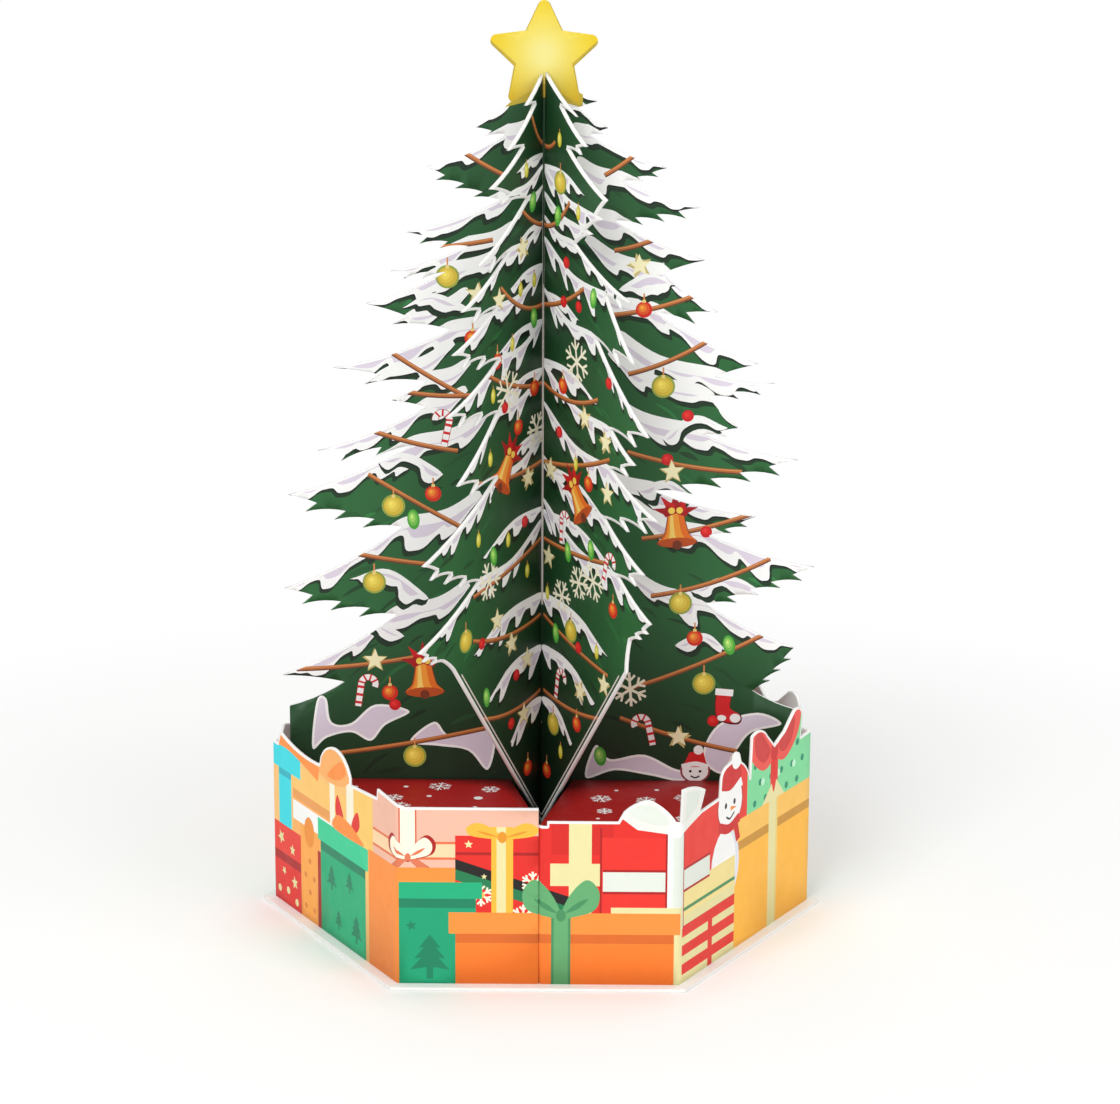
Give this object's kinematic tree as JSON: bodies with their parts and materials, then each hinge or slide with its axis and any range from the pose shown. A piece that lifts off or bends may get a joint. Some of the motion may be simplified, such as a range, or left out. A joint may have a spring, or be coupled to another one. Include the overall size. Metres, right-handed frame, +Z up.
{
  "type": "pop up card",
  "caption": "Open Christmas tree pop-up card: crossed die-cut tree sheets with a star on top, standing in a folded hexagonal ring shaped like gift boxes, on a white base card.",
  "frame": {"origin": "centre of the base card's underside", "axes": "+Z up along the tree's axis, X along the main tree sheet with +X to the reader's right, -Y towards the reader"},
  "size_m": [0.115, 0.0996, 0.1862],
  "materials": {
    "white_card": "matte",
    "gift_print": "satin",
    "red_print": "satin",
    "tree_print": "satin"
  },
  "bodies": {
    "root": {"base_card": "white_card", "wall_left": "gift_print", "wall_right": "gift_print", "platform_front": "red_print", "platform_back": "red_print", "main_tree": "tree_print", "cross_tree_left": "tree_print", "cross_tree_right": "tree_print"}
  },
  "joints": []
}
